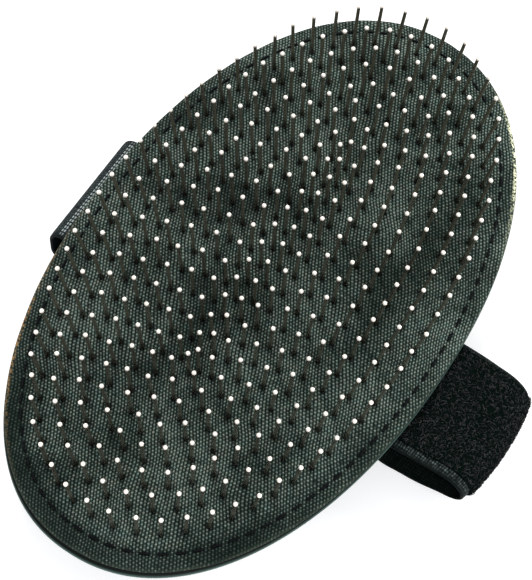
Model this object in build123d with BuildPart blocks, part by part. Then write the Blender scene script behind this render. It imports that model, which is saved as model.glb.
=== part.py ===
from build123d import *
import math
import os
import random

# Grooming glove: an oval palm pad with wire pins on its front, worn with a hand strap that closes
# with hook and loop. The pad lies pins up on its flattened strap. Millimetres, +Z out of the pins,
# +Y along the pad, +X towards the loop-pile side. The origin is on the resting surface, straight
# below the pad's centre.

# --- Driving dimensions ---------------------------------------------------------------------

# Pad outline: an oval between an ellipse and a rounded box
PAD_LENGTH = 200.0
PAD_WIDTH = 116.4
OVAL_EXPONENT = 2.13
OUTLINE_POINTS = 48
OUTLINE_STEPS = 2000

# The pad is a sheet bent over two arcs, tighter across the palm than along it
CROWN_Z = 26.0
CROSS_RADIUS = 380.0
LONG_RADIUS = 1286.0

# Layers, measured inwards from the front face
CANVAS = 0.8
FOUNDATION = 1.5
FOAM = 2.0
BACKING = 1.5

# Distances inwards from the pad's edge
HEM_WIDTH = 7.3
STITCH_INSET = 5.3
TRAY_INSET = 6.0
TRAY_WALL = 1.5
FOUNDATION_INSET = 7.7
FIRST_RING_INSET = 10.3

# Pins: rings one pitch apart, and one pitch between pins. Leans are in degrees, and the two
# outermost rings lean further out at the pad's far end and along its left side
PIN_DIAMETER = 1.0
PIN_PROUD = 16.3
PIN_TIP_LENGTH = 0.4
PIN_TIP_DIAMETER = 0.7
RING_STEP = 6.7
RING_COUNTS = (67, 61, 55, 48, 42, 36, 31, 26)
RING_PHASES = (0.23, 0.80, 0.36, 0.46, 0.15, 0.83, 0.22, 0.15)
INNERMOST_HALF_WIDTH = 2.5
OUTER_LEAN = 1.3
LEAN_SCATTER = 1.1
LEAN_LIMIT = 2.4
FAR_END_LEANS = (12.0, 3.0)
FAR_END_START_Y = 52.0
LEFT_SIDE_LEANS = (5.0, 2.5)
LEFT_SIDE_REACH_Y = 70.0
PIN_END_CLEARANCE = 0.15
PIN_SEED = 11

# Straps
STRAP_WIDTH = 40.0
LEFT_STRAP_Y = -2.0
RIGHT_STRAP_Y = -4.4
WEBBING = 1.2
TAPE_BASE = 0.9
PILE = 1.6
SELVEDGE = 3.0
HOOK_TAPE = 1.0
HOOK_MARGIN = 2.0
CLOSURE_GAP = 0.3
ANCHOR_INNER_X = 18.0
ANCHOR_OUTER_X = 51.0

# Side loops: the flattened strap's folds past the pad's sides
LOOP_START_Z = 16.5
LEFT_FOLD_X = -64.3
LEFT_CREST_Z = 17.9
LEFT_ENTRY = 2.5
LEFT_ENTRY_RADIUS = 4.0
LEFT_TOP_RADIUS = 7.0
LEFT_LOW_RADIUS = 4.6
LEFT_LOOP_END_X = -56.0
RIGHT_FOLD_X = 83.2
RIGHT_FOLD_FLAT = 0.2
RIGHT_LOOP_END_X = 70.0
PILE_START_X = 54.0

# Closure: the tab peels at a line across the strap, and the right strap lies over it
PEEL_X = 6.0
TAB_END_X = 46.0
TAB_CORNER = 6.0
RAMP_START_X = 47.5
RAMP_END_X = 56.0
RAMP_RADIUS = 8.0
RIGHT_STRAP_END_X = -8.0
HOOK_START_X = 8.0
HOOK_END_X = 43.0

# Stitches
THREAD = 0.5
THREAD_SUNK = 0.15
RIM_STITCH_PITCH = 4.8
RIM_STITCH_LENGTH = 3.2
RIM_STITCH_PHASE = 0.5
STRAP_STITCH_PITCH = 4.0
STRAP_STITCH_LENGTH = 2.6
EDGE_STITCH_INSET = 2.0

# Cutting shapes reach past the pad by these
PRISM_LOW = 5.0
PRISM_HIGH = 35.0
PROFILE_MARGIN = 12.0
CUT_MARGIN = 1.0

# --- Derived sizes --------------------------------------------------------------------------

HALF_LENGTH = PAD_LENGTH / 2
HALF_WIDTH = PAD_WIDTH / 2
FOUNDATION_BACK = CANVAS + FOUNDATION
FOAM_BACK = FOUNDATION_BACK + FOAM
PAD_BACK = FOAM_BACK + BACKING
HEM_BACK = 2 * CANVAS
RIM_BACK = HEM_BACK + BACKING
PILE_UNDERSIDE = WEBBING + HOOK_TAPE + CLOSURE_GAP
PILE_WIDTH = STRAP_WIDTH - 2 * SELVEDGE
HOOK_WIDTH = STRAP_WIDTH - 2 * HOOK_MARGIN
RIGHT_LOOP_RADIUS = (LOOP_START_Z - PILE - RIGHT_FOLD_FLAT) / 2

os.makedirs("parts", exist_ok=True)


# --- Helpers --------------------------------------------------------------------------------

def oval_point(inset, turn):
    """A point on the pad's outline, moved inwards by inset, at a parameter in turns from +X."""
    half_x = max(HALF_WIDTH - inset, INNERMOST_HALF_WIDTH)
    half_y = HALF_LENGTH - inset
    c = math.cos(2 * math.pi * turn)
    s = math.sin(2 * math.pi * turn)
    power = 2 / OVAL_EXPONENT
    x = half_x * math.copysign(abs(c) ** power, c)
    y = half_y * math.copysign(abs(s) ** power, s)
    return x, y


def evenly_along_oval(inset, count, phase):
    """Points evenly spaced along an inset oval, starting phase steps past +X."""
    points = [oval_point(inset, i / OUTLINE_STEPS) for i in range(OUTLINE_STEPS + 1)]
    lengths = [0.0]
    for (x0, y0), (x1, y1) in zip(points, points[1:]):
        lengths.append(lengths[-1] + math.hypot(x1 - x0, y1 - y0))
    placed = []
    for k in range(count):
        target = lengths[-1] * (((k + phase) / count) % 1.0)
        nearest = min(range(OUTLINE_STEPS), key=lambda i: abs(lengths[i] - target))
        placed.append(points[nearest])
    return placed


def crown_plane(x, y, depth=0.0):
    """The plane that lies on the bent sheet at (x, y), depth below the front face, facing out."""
    tilt = math.asin(x / CROSS_RADIUS)
    ridge = LONG_RADIUS - CROSS_RADIUS * (1 - math.cos(tilt))
    roll = math.asin(y / ridge)
    normal = Vector(
        math.sin(tilt),
        math.cos(tilt) * math.sin(roll),
        math.cos(tilt) * math.cos(roll),
    )
    front = Vector(x, y, CROWN_Z - LONG_RADIUS + ridge * math.cos(roll))
    along = Vector(0, math.cos(roll), -math.sin(roll))
    return Plane(origin=front - normal * depth, x_dir=along, z_dir=normal)


def oval_face(inset):
    """The pad's outline, moved inwards by inset, as a sketch."""
    with BuildSketch(Plane.XY.offset(PRISM_LOW)) as face:
        with BuildLine():
            points = [oval_point(inset, i / OUTLINE_POINTS) for i in range(OUTLINE_POINTS)]
            Spline(*points, periodic=True)
        make_face()
    return face.sketch


def sheet_profile(top, bottom):
    """Cross-section of the bent sheet between two depths, on the XZ plane."""
    centre_z = CROWN_Z - CROSS_RADIUS
    reach = math.degrees(math.asin((HALF_WIDTH + PROFILE_MARGIN) / CROSS_RADIUS))
    with BuildSketch(Plane.XZ) as profile:
        with BuildLine():
            outer = CenterArc((0, centre_z), CROSS_RADIUS - top, 90 - reach, 2 * reach)
            inner = CenterArc((0, centre_z), CROSS_RADIUS - bottom, 90 - reach, 2 * reach)
            Line(outer @ 0, inner @ 0)
            Line(outer @ 1, inner @ 1)
        make_face()
    return profile.sketch


def bent_layer(inset, top, bottom):
    """An oval layer of the pad, bent over the crown, between two depths."""
    with BuildPart() as layer:
        add(oval_face(inset))
        extrude(amount=PRISM_HIGH - PRISM_LOW)
        axis = Axis((0, 0, CROWN_Z - LONG_RADIUS), (1, 0, 0))
        add(sheet_profile(top, bottom))
        revolve(axis=axis, revolution_arc=360, mode=Mode.INTERSECT)
    return layer.part


def ribbon(points, radii, thickness, side, width, centre_y):
    """A strip that follows a filleted path in X and Z, thickened to one side, centred on centre_y."""
    with BuildPart() as strip:
        with BuildSketch(Plane.XZ.offset(-centre_y)):
            with BuildLine():
                FilletPolyline(*points, radius=radii)
                offset(amount=thickness, side=side)
            make_face()
        extrude(amount=width / 2, both=True)
    return strip.part


def flat_strip(x_low, x_high, z_low, thickness, width, centre_y):
    """A straight strip of webbing or tape lying flat."""
    with BuildPart() as strip:
        with BuildSketch(Plane.XY.offset(z_low)):
            with Locations(((x_low + x_high) / 2, centre_y)):
                Rectangle(x_high - x_low, width)
        extrude(amount=thickness)
    return strip.part


def anchor_run(x_low, x_high, thickness, centre_y):
    """The end of a strap, sewn flat under the bent back of the pad."""
    with BuildPart() as run:
        add(flat_strip(x_low, x_high, PRISM_LOW, PRISM_HIGH - PRISM_LOW, STRAP_WIDTH, centre_y))
        add(sheet_profile(PAD_BACK, PAD_BACK + thickness))
        axis = Axis((0, 0, CROWN_Z - LONG_RADIUS), (1, 0, 0))
        revolve(axis=axis, revolution_arc=360, mode=Mode.INTERSECT)
    return run.part


def stitch_planes(corners, closed, depth, pitch):
    """Planes along straight seams on the bent sheet, x_dir along the seam."""
    seams = list(zip(corners, corners[1:] + corners[:1])) if closed else list(zip(corners, corners[1:]))
    planes = []
    for (x0, y0), (x1, y1) in seams:
        length = math.hypot(x1 - x0, y1 - y0)
        count = max(1, int(length // pitch))
        for k in range(count):
            share = (k + 0.5) / count
            at = crown_plane(x0 + share * (x1 - x0), y0 + share * (y1 - y0), depth)
            run = Vector(x1 - x0, y1 - y0, 0).normalized()
            along = run - at.z_dir * run.dot(at.z_dir)
            planes.append(Plane(origin=at.origin, x_dir=along, z_dir=at.z_dir))
    return planes


def threads(planes, length):
    """One short thread per plane, lying along its x_dir."""
    with BuildPart() as stitches:
        with Locations(*planes):
            Cylinder(THREAD / 2, length, rotation=(0, 90, 0))
    return stitches.part


def anchor_stitching(side, thickness, centre_y):
    """Threads of the sewn box with a cross that holds an anchor run, on its underside."""
    near = side * (ANCHOR_INNER_X + EDGE_STITCH_INSET)
    far = side * (ANCHOR_OUTER_X - EDGE_STITCH_INSET)
    low = centre_y - STRAP_WIDTH / 2 + EDGE_STITCH_INSET
    high = centre_y + STRAP_WIDTH / 2 - EDGE_STITCH_INSET
    depth = PAD_BACK + thickness
    box = [(near, low), (far, low), (far, high), (near, high)]
    middle = ((near + far) / 2, centre_y)
    planes = stitch_planes(box, True, depth, STRAP_STITCH_PITCH)
    # The second diagonal stops at the first, where the two cross
    for seam in ([box[0], box[2]], [box[1], middle], [middle, box[3]]):
        planes += stitch_planes(seam, False, depth, STRAP_STITCH_PITCH)
    return threads(planes, STRAP_STITCH_LENGTH)


def outward_lean(ring, x, y):
    """How far a pin of a ring leans away from the pad's centre, in radians."""
    lean = OUTER_LEAN * (1 - ring / len(RING_COUNTS))
    if ring < len(FAR_END_LEANS):
        end_y = HALF_LENGTH - FIRST_RING_INSET
        far_share = (y - FAR_END_START_Y) / (end_y - FAR_END_START_Y)
        lean += FAR_END_LEANS[ring] * min(max(far_share, 0.0), 1.0)
        if x < 0:
            lean += LEFT_SIDE_LEANS[ring] * max(1 - abs(y) / LEFT_SIDE_REACH_Y, 0.0)
    return math.radians(lean)


def save(part, name):
    part.label = name
    export_step(part, f"parts/{name}.step")
    print(name, len(part.solids()), round(part.volume, 1))


# --- Pad ------------------------------------------------------------------------------------

# Front cover: canvas over the whole pad, its edge turned under as a hem
with BuildPart() as front_cover:
    add(bent_layer(0, 0, HEM_BACK))
    add(bent_layer(HEM_WIDTH, CANVAS, HEM_BACK + CUT_MARGIN), mode=Mode.SUBTRACT)
save(front_cover.part, "front_cover")

# Pin foundation: the rubber sheet behind the canvas that grips the pins
with BuildPart() as pin_foundation:
    add(bent_layer(FOUNDATION_INSET, CANVAS, FOUNDATION_BACK))
save(pin_foundation.part, "pin_foundation")

# Foam core: thin padding between the pins' ends and the palm
with BuildPart() as foam_core:
    add(bent_layer(FOUNDATION_INSET, FOUNDATION_BACK, FOAM_BACK))
save(foam_core.part, "foam_core")

# Back cover: a flange at the rim and a shallow tray over the padding
with BuildPart() as back_cover:
    add(bent_layer(0, HEM_BACK, RIM_BACK))
    add(bent_layer(TRAY_INSET, HEM_BACK, PAD_BACK))
    add(bent_layer(TRAY_INSET + TRAY_WALL, HEM_BACK - CUT_MARGIN, FOAM_BACK), mode=Mode.SUBTRACT)
save(back_cover.part, "back_cover")

# Rim stitching: one lock-stitched line, seen on the front and on the back
stitch_count = round(math.pi * (HALF_WIDTH + HALF_LENGTH - 2 * STITCH_INSET) / RIM_STITCH_PITCH)
seam_points = evenly_along_oval(STITCH_INSET, stitch_count, RIM_STITCH_PHASE)
rim_planes = []
for i, (x, y) in enumerate(seam_points):
    x_next, y_next = seam_points[(i + 1) % stitch_count]
    x_last, y_last = seam_points[i - 1]
    run = Vector(x_next - x_last, y_next - y_last, 0).normalized()
    for depth in (0.0, RIM_BACK):
        at = crown_plane(x, y, depth)
        along = run - at.z_dir * run.dot(at.z_dir)
        rim_planes.append(Plane(origin=at.origin, x_dir=along, z_dir=at.z_dir))
save(threads(rim_planes, RIM_STITCH_LENGTH), "rim_stitching")

# --- Pins -----------------------------------------------------------------------------------

# Each pin stands square to the bent sheet, leans out a little more towards the rim, and is
# slightly out of true, as pins pushed through cloth are
scatter = random.Random(PIN_SEED)
pin_root = FOUNDATION_BACK - PIN_END_CLEARANCE
shaft_length = pin_root + PIN_PROUD - PIN_TIP_LENGTH
for ring, (count, phase) in enumerate(zip(RING_COUNTS, RING_PHASES)):
    inset = FIRST_RING_INSET + ring * RING_STEP
    planes = []
    for x, y in evenly_along_oval(inset, count, phase):
        square = crown_plane(x, y)
        outward = outward_lean(ring, x, y)
        reach = max(math.hypot(x, y), 1.0)
        off_true = math.radians(min(abs(scatter.gauss(0, LEAN_SCATTER)), LEAN_LIMIT))
        heading = scatter.uniform(0, 2 * math.pi)
        lean = Vector(
            outward * x / reach + off_true * math.cos(heading),
            outward * y / reach + off_true * math.sin(heading),
            0,
        )
        axis = (square.z_dir + lean).normalized()
        planes.append(Plane(origin=square.origin - axis * pin_root, z_dir=axis))
    with BuildPart() as pins:
        with Locations(*planes):
            Cylinder(PIN_DIAMETER / 2, shaft_length, align=(Align.CENTER, Align.CENTER, Align.MIN))
        with Locations(*[plane.offset(shaft_length) for plane in planes]):
            Cone(
                PIN_DIAMETER / 2,
                PIN_TIP_DIAMETER / 2,
                PIN_TIP_LENGTH,
                align=(Align.CENTER, Align.CENTER, Align.MIN),
            )
    save(pins.part, f"pins_ring_{ring + 1}")

# --- Left strap: ribbed webbing -------------------------------------------------------------

# Anchor run, sewn under the back cover
with BuildPart() as left_strap_anchor:
    add(anchor_run(-ANCHOR_OUTER_X, -ANCHOR_INNER_X, WEBBING, LEFT_STRAP_Y))
save(left_strap_anchor.part, "left_strap_anchor")

# Side loop, from under the rim round to the resting surface; the path is its outer face
left_loop_path = (
    (-ANCHOR_OUTER_X, LOOP_START_Z),
    (-ANCHOR_OUTER_X - LEFT_ENTRY, LOOP_START_Z),
    (LEFT_FOLD_X, LEFT_CREST_Z),
    (LEFT_FOLD_X, 0),
    (LEFT_LOOP_END_X, 0),
)
left_loop_radii = (LEFT_ENTRY_RADIUS, LEFT_TOP_RADIUS, LEFT_LOW_RADIUS)
with BuildPart() as left_strap_side_loop:
    add(ribbon(left_loop_path, left_loop_radii, WEBBING, Side.LEFT, STRAP_WIDTH, LEFT_STRAP_Y))
save(left_strap_side_loop.part, "left_strap_side_loop")

# Lower run, on the resting surface, up to the line where the tab peels
with BuildPart() as left_strap_lower_run:
    add(flat_strip(LEFT_LOOP_END_X, PEEL_X, 0, WEBBING, STRAP_WIDTH, LEFT_STRAP_Y))
save(left_strap_lower_run.part, "left_strap_lower_run")

# Tab: the strap's free end, with hook tape sewn on its upper face
with BuildPart() as strap_tab:
    add(flat_strip(PEEL_X + CLOSURE_GAP, TAB_END_X, 0, WEBBING, STRAP_WIDTH, LEFT_STRAP_Y))
    corners = strap_tab.edges().filter_by(Axis.Z).group_by(Axis.X)[-1]
    fillet(corners, radius=TAB_CORNER)
save(strap_tab.part, "strap_tab")

with BuildPart() as hook_tape:
    add(flat_strip(HOOK_START_X, HOOK_END_X, WEBBING, HOOK_TAPE, HOOK_WIDTH, LEFT_STRAP_Y))
save(hook_tape.part, "hook_tape")

# --- Right strap: a woven tape whose outer face is loop pile --------------------------------

with BuildPart() as right_strap_anchor:
    add(anchor_run(ANCHOR_INNER_X, ANCHOR_OUTER_X, TAPE_BASE, RIGHT_STRAP_Y))
save(right_strap_anchor.part, "right_strap_anchor")

# Side loop; the path is the woven face that carries the pile
right_loop_path = (
    (ANCHOR_OUTER_X, LOOP_START_Z),
    (RIGHT_FOLD_X, LOOP_START_Z),
    (RIGHT_FOLD_X, PILE),
    (RIGHT_LOOP_END_X, PILE),
)
right_loop_radii = (RIGHT_LOOP_RADIUS, RIGHT_LOOP_RADIUS)
with BuildPart() as right_strap_side_loop:
    add(ribbon(right_loop_path, right_loop_radii, TAPE_BASE, Side.RIGHT, STRAP_WIDTH, RIGHT_STRAP_Y))
save(right_strap_side_loop.part, "right_strap_side_loop")

pile_loop_path = ((PILE_START_X, LOOP_START_Z),) + right_loop_path[1:]
with BuildPart() as loop_pile_side_loop:
    add(ribbon(pile_loop_path, right_loop_radii, PILE, Side.LEFT, PILE_WIDTH, RIGHT_STRAP_Y))
save(loop_pile_side_loop.part, "loop_pile_side_loop")

# Lower run: on the resting surface, then up a ramp and over the tab
right_run_path = (
    (RIGHT_LOOP_END_X, PILE),
    (RAMP_END_X, PILE),
    (RAMP_START_X, PILE_UNDERSIDE + PILE),
    (RIGHT_STRAP_END_X, PILE_UNDERSIDE + PILE),
)
right_run_radii = (RAMP_RADIUS, RAMP_RADIUS)
with BuildPart() as right_strap_lower_run:
    add(ribbon(right_run_path, right_run_radii, TAPE_BASE, Side.RIGHT, STRAP_WIDTH, RIGHT_STRAP_Y))
save(right_strap_lower_run.part, "right_strap_lower_run")

with BuildPart() as loop_pile_lower_run:
    add(ribbon(right_run_path, right_run_radii, PILE, Side.LEFT, PILE_WIDTH, RIGHT_STRAP_Y))
save(loop_pile_lower_run.part, "loop_pile_lower_run")

# --- Strap stitching ------------------------------------------------------------------------

# Each anchor run is held by a sewn box with a cross, seen on its underside
save(anchor_stitching(-1, WEBBING, LEFT_STRAP_Y), "left_anchor_stitching")
save(anchor_stitching(1, TAPE_BASE, RIGHT_STRAP_Y), "right_anchor_stitching")

# Hook tape stitching: a line round the hook tape, sunk into its upper face
seam_x = (HOOK_START_X + EDGE_STITCH_INSET, HOOK_END_X - EDGE_STITCH_INSET)
seam_y = HOOK_WIDTH / 2 - EDGE_STITCH_INSET
thread_z = WEBBING + HOOK_TAPE - THREAD_SUNK
hook_planes = []
for y in (LEFT_STRAP_Y - seam_y, LEFT_STRAP_Y + seam_y):
    count = int((seam_x[1] - seam_x[0]) // STRAP_STITCH_PITCH)
    for k in range(count):
        x = seam_x[0] + (k + 0.5) * (seam_x[1] - seam_x[0]) / count
        hook_planes.append(Plane(origin=(x, y, thread_z), x_dir=(1, 0, 0)))
for x in seam_x:
    count = int(2 * seam_y // STRAP_STITCH_PITCH)
    for k in range(count):
        y = LEFT_STRAP_Y - seam_y + (k + 0.5) * 2 * seam_y / count
        hook_planes.append(Plane(origin=(x, y, thread_z), x_dir=(0, 1, 0)))
save(threads(hook_planes, STRAP_STITCH_LENGTH), "hook_tape_stitching")
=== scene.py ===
import math
import random

import bmesh
import bpy
import numpy as np
from mathutils import Matrix, Vector, noise


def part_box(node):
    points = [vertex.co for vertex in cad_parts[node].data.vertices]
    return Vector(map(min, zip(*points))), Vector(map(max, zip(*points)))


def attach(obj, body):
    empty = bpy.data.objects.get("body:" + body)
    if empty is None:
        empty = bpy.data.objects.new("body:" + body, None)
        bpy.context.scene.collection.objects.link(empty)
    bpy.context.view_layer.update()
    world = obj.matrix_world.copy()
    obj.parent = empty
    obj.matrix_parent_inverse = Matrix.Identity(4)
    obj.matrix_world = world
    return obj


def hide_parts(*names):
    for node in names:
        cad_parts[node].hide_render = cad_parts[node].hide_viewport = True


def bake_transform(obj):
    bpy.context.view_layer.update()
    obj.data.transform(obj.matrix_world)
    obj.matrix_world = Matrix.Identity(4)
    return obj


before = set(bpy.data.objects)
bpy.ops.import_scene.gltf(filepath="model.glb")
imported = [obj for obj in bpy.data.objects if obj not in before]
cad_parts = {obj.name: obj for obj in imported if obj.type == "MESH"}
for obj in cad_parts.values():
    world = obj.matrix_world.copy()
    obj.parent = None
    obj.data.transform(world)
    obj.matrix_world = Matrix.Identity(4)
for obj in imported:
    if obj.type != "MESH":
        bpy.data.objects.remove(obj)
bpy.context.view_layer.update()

# Grooming glove: an oval palm pad with wire pins, on its folded hand strap.
# Lengths are in millimetres in this script's own arithmetic, and turn to metres in new_mesh().

MM = 0.001
scene = bpy.context.scene

# --- Driving dimensions ---

HALF_WIDTH, HALF_LENGTH, CROWN_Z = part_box("front_cover")[1] / MM
OVAL_EXPONENT = 2.13
# The pad bends a little across and less along
CROSS_RADIUS = 380.0
LONG_RADIUS = 1286.0

STITCH_INSET = 5.3
HEM_WIDTH = 7.3
GRID_INSET = HEM_WIDTH + 1.5
# The rim from front to back: the canvas hem, a gap, then the backing's edge
RIM_FRONT = 1.6
RIM_GAP = 0.9
RIM_TOTAL = 4.9
CLOTH = 0.78
# The backing stands out past the hem, most of all at the near end
BACK_OUTSET = 0.45
NEAR_OUTSET = 0.55
# One side was sewn less tightly, so it bulges
BULGE = 0.9
BULGE_CENTRE = math.radians(33)
BULGE_SPREAD = math.radians(30)
PAD_BACK = 5.8
PUFF = 1.1
EDGE_DROP = 0.05
# Colour attributes use this distance for points far from any pin
FAR_FROM_PINS = 9.0

STRAP_WIDTH = 40.0
# Tape and tab are a little narrower, so that their selvedges don't lie in the webbing's
TRIMMED_WIDTH = STRAP_WIDTH - 0.3
LEFT_Y = sum(c.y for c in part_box("left_strap_lower_run")) / 2 / MM
RIGHT_Y = sum(c.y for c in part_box("right_strap_lower_run")) / 2 / MM
WEBBING = 1.2
TAPE = 0.9
PILE = 1.6
PILE_HALF = (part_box("loop_pile_lower_run")[1].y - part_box("loop_pile_lower_run")[0].y) / 2 / MM

# The weave runs along these two directions on the pad
WEAVE_TURN = math.radians(28.2)
WARP_PITCH = 0.92
DOT_PITCH = 1.09


# --- Meshes ---

def new_mesh(name, verts, faces):
    """A mesh object from points in millimetres."""
    mesh = bpy.data.meshes.new(name)
    mesh.from_pydata((np.asarray(verts, float) * MM).tolist(), [], faces)
    mesh.validate()
    mesh.polygons.foreach_set("use_smooth", [True] * len(mesh.polygons))
    obj = bpy.data.objects.new(name, mesh)
    scene.collection.objects.link(obj)
    return obj


def face_outwards(obj):
    bm = bmesh.new()
    bm.from_mesh(obj.data)
    bmesh.ops.recalc_face_normals(bm, faces=bm.faces)
    bm.to_mesh(obj.data)
    bm.free()


def fit(piece, material, body, node):
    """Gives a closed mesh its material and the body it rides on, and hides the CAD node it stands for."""
    face_outwards(piece)
    piece.data.materials.append(material)
    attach(piece, body)
    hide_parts(node)


def paint(obj, name, values):
    """A number for each point, which a material reads as an attribute."""
    layer = obj.data.attributes.new(name, "FLOAT", "POINT")
    layer.data.foreach_set("value", np.asarray(values, np.float32))


def smooth_step(low, high, x):
    t = np.clip((np.asarray(x, float) - low) / (high - low), 0, 1)
    return t * t * (3 - 2 * t)


def crown(x, y, lift):
    """Points on the pad's bent sheet, lift above its front face."""
    x, y, lift = np.broadcast_arrays(np.asarray(x, float), np.asarray(y, float), np.asarray(lift, float))
    tilt = np.arcsin(np.clip(x / CROSS_RADIUS, -1, 1))
    ridge = LONG_RADIUS - CROSS_RADIUS * (1 - np.cos(tilt))
    roll = np.arcsin(np.clip(y / ridge, -1, 1))
    normal = np.stack([np.sin(tilt), np.cos(tilt) * np.sin(roll), np.cos(tilt) * np.cos(roll)], -1)
    front = np.stack([x, y, CROWN_Z - LONG_RADIUS + ridge * np.cos(roll)], -1)
    return front + normal * lift[..., None]


def oval_reach(theta):
    """How far the oval reaches past the unit circle in a direction, before scaling to the pad."""
    c, s = np.abs(np.cos(theta)), np.abs(np.sin(theta))
    return (c ** OVAL_EXPONENT + s ** OVAL_EXPONENT) ** (-1 / OVAL_EXPONENT)


def bulge(theta):
    """Share of the rim's outward bulge in a direction."""
    return np.exp(-((np.asarray(theta) - BULGE_CENTRE) / BULGE_SPREAD) ** 2)


def oval_xy(theta, inset):
    """Points in the direction theta, inset from the pad's edge."""
    inset = inset - BULGE * bulge(theta) * smooth_step(STITCH_INSET, 0, inset)
    reach = oval_reach(theta)
    return (HALF_WIDTH - inset) * reach * np.cos(theta), (HALF_LENGTH - inset) * reach * np.sin(theta)


def inset_of(x, y):
    """Distance inwards from the pad's edge at (x, y), by halving."""
    low = np.zeros_like(x)
    high = np.full_like(x, HALF_WIDTH - 0.5)
    for _ in range(26):
        mid = (low + high) / 2
        level = (np.abs(x) / (HALF_WIDTH - mid)) ** OVAL_EXPONENT
        level = level + (np.abs(y) / (HALF_LENGTH - mid)) ** OVAL_EXPONENT
        inside = level < 1
        low = np.where(inside, mid, low)
        high = np.where(inside, high, mid)
    return (low + high) / 2


def oval_grid(columns, rows, inset):
    """An even grid of quads that fills the oval at an inset: (x, y, faces, edge loop of indices)."""
    u, v = np.meshgrid(np.linspace(-1, 1, columns), np.linspace(-1, 1, rows))
    disc_x = u * np.sqrt(1 - v * v / 2)
    disc_y = v * np.sqrt(1 - u * u / 2)
    theta = np.arctan2(disc_y, disc_x)
    reach = oval_reach(theta)
    x = ((HALF_WIDTH - inset) * reach * disc_x).ravel()
    y = ((HALF_LENGTH - inset) * reach * disc_y).ravel()
    corners = (r * columns + c for r in range(rows - 1) for c in range(columns - 1))
    faces = [(i, i + 1, i + columns + 1, i + columns) for i in corners]
    loop = list(range(columns))
    loop += [r * columns + columns - 1 for r in range(1, rows)]
    loop += [(rows - 1) * columns + c for c in range(columns - 2, -1, -1)]
    loop += [r * columns for r in range(rows - 2, 0, -1)]
    return x, y, faces, loop, theta.ravel()[loop]


def tube(faces, start, sides, steps):
    """Quads round rings of as many points as sides, which follow from index start."""
    for a in range(start, start + steps * sides, sides):
        for k in range(sides):
            j = (k + 1) % sides
            faces.append((a + k, a + j, a + sides + j, a + sides + k))


def join_loops(faces, first, second):
    for k in range(len(first)):
        j = (k + 1) % len(first)
        faces.append((first[k], second[k], second[j], first[j]))


class Shell:
    """A closed oval shell: a grid, rings that run on from its edge, and the grid again as its inner face.

    Every point has named values, which turn into attributes; the constructor gives their defaults.
    """

    def __init__(self, columns, rows, inset, **defaults):
        self.x, self.y, self.faces, self.loop, self.theta = oval_grid(columns, rows, inset)
        self.grid_faces = list(self.faces)
        self.verts = []
        self.rings = 0
        self.defaults = defaults
        self.values = {name: [] for name in defaults}

    def points(self, x, y, lift, **values):
        self.verts.append(crown(x, y, lift))
        for name, default in self.defaults.items():
            self.values[name].append(np.full(len(x), values.get(name, default)))

    def ring(self, place, lift, **values):
        """One more ring, at place = (x, y)."""
        self.points(*place, lift, **values)
        self.rings += 1

    def close(self, name, lift):
        """Adds the inner face at a lift, and makes the mesh."""
        last = self.loop
        start = len(self.x)
        count = len(last)
        for _ in range(self.rings):
            following = list(range(start, start + count))
            join_loops(self.faces, last, following)
            last = following
            start += count
        self.points(self.x, self.y, lift)
        self.faces += [tuple(start + i for i in reversed(face)) for face in self.grid_faces]
        join_loops(self.faces, last, [start + i for i in self.loop])
        self.values = {name: np.concatenate(parts) for name, parts in self.values.items()}
        return new_mesh(name, np.concatenate(self.verts), self.faces)


def islands(node):
    """The separate solids of a CAD node, each as an array of its points in millimetres."""
    bm = bmesh.new()
    bm.from_mesh(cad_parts[node].data)
    bmesh.ops.remove_doubles(bm, verts=bm.verts, dist=1e-7)
    bm.verts.ensure_lookup_table()
    seen = set()
    groups = []
    for vert in bm.verts:
        if vert.index in seen:
            continue
        seen.add(vert.index)
        stack = [vert]
        points = []
        while stack:
            here = stack.pop()
            points.append(here.co[:])
            for edge in here.link_edges:
                there = edge.other_vert(here)
                if there.index not in seen:
                    seen.add(there.index)
                    stack.append(there)
        groups.append(np.array(points) / MM)
    bm.free()
    return groups


def long_axis(points):
    """(one end, other end) of a slim solid's centre line."""
    centre = (points.min(0) + points.max(0)) / 2
    _, _, directions = np.linalg.svd(points - points.mean(0), full_matrices=False)
    axis = directions[0] * (1 if directions[0][2] >= 0 else -1)
    reach = (points - centre) @ axis
    side = points - np.outer(reach, axis)
    centre_line = (side.min(0) + side.max(0)) / 2
    centre_line = centre_line - axis * (centre_line @ axis)
    along = points @ axis
    return centre_line + axis * along.min(), centre_line + axis * along.max()


# --- Materials ---

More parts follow.
